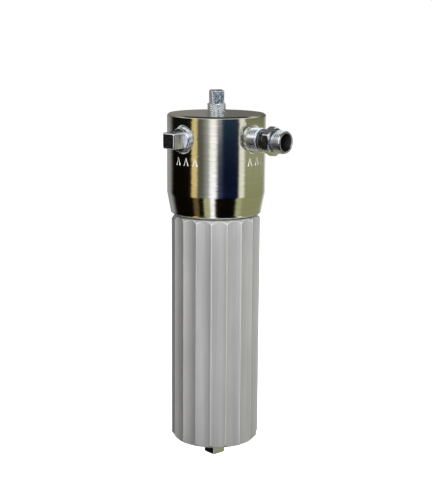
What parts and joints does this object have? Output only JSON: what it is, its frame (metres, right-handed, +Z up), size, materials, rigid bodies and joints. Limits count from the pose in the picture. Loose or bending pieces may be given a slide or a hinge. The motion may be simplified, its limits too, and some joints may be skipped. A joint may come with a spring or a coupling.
{
  "type": "in-line compressed air filter",
  "caption": "Round steel filter head with side ports and a long fluted screw-on bowl, square-head plugs and a hex hose nipple; strains and coalesces high-pressure air.",
  "frame": {"origin": "mouth of the inlet port's threaded wall, on the port's centre line", "axes": "+Y out of the inlet port, +Z up along the filter's long axis, from the bowl to the head"},
  "size_m": [0.0842, 0.0978, 0.268],
  "materials": {
    "chromated_steel": "turned and yellow chromated",
    "zinc_plated_steel": "bright zinc plate",
    "satin_aluminium": "satin, drawn along its length",
    "stainless_steel": "machined",
    "spring_steel": "drawn wire",
    "cap_aluminium": "pressed, plain",
    "nitrile_rubber": "moulded, lightly greased",
    "ptfe": "machined, waxy",
    "potting_resin": "cast epoxy",
    "microfibre": "matted glass fibre",
    "drain_foam": "open-cell foam"
  },
  "bodies": {
    "head": {"head": "chromated_steel", "top_port_plug": "zinc_plated_steel", "side_port_plug": "zinc_plated_steel", "outlet_nipple": "zinc_plated_steel", "element_spigot": "stainless_steel", "element_o_ring": "nitrile_rubber"},
    "spring": {"element_spring": "spring_steel"},
    "seal_rings": {"bowl_o_ring": "nitrile_rubber", "bowl_backup_ring": "ptfe"},
    "bowl": {"bowl": "satin_aluminium", "quiet_zone_baffle": "stainless_steel"},
    "drain_plug": {"drain_plug": "zinc_plated_steel"},
    "element": {"element_upper_cap": "cap_aluminium", "upper_potting": "potting_resin", "element_core_tube": "stainless_steel", "inner_mesh": "stainless_steel", "microfibre_sleeve": "microfibre", "outer_cage": "stainless_steel", "foam_sleeve": "drain_foam", "lower_potting": "potting_resin", "element_lower_cap": "cap_aluminium"}
  },
  "joints": [
    {"name": "bowl_drop", "type": "slide", "parent": "head", "child": "spring", "axis": [0, 0, 1], "range_m": [-0.17, 0]},
    {"name": "bowl_travel", "type": "slide", "parent": "spring", "child": "seal_rings", "axis": [0, 0, 1], "range_m": [-0.0241, 0]},
    {"name": "bowl_turn", "type": "hinge", "parent": "seal_rings", "child": "bowl", "pos_m": [0, -0.0329, 0], "axis": [0, 0, 1], "range_deg": [-4320, 0]},
    {"name": "drain_plug_out", "type": "slide", "parent": "bowl", "child": "drain_plug", "axis": [0, 0, 1], "range_m": [-0.02, 0]},
    {"name": "element_slide", "type": "slide", "parent": "head", "child": "element", "axis": [0, 0, 1], "range_m": [-0.004, 0], "stiffness_N_per_m": 1500, "springref_m": 0.008, "deforming": ["element_spring"]}
  ],
  "couplings": [
    {"joint": "bowl_travel", "follows": "bowl_turn", "m_per_rad": 0.00031831}
  ]
}
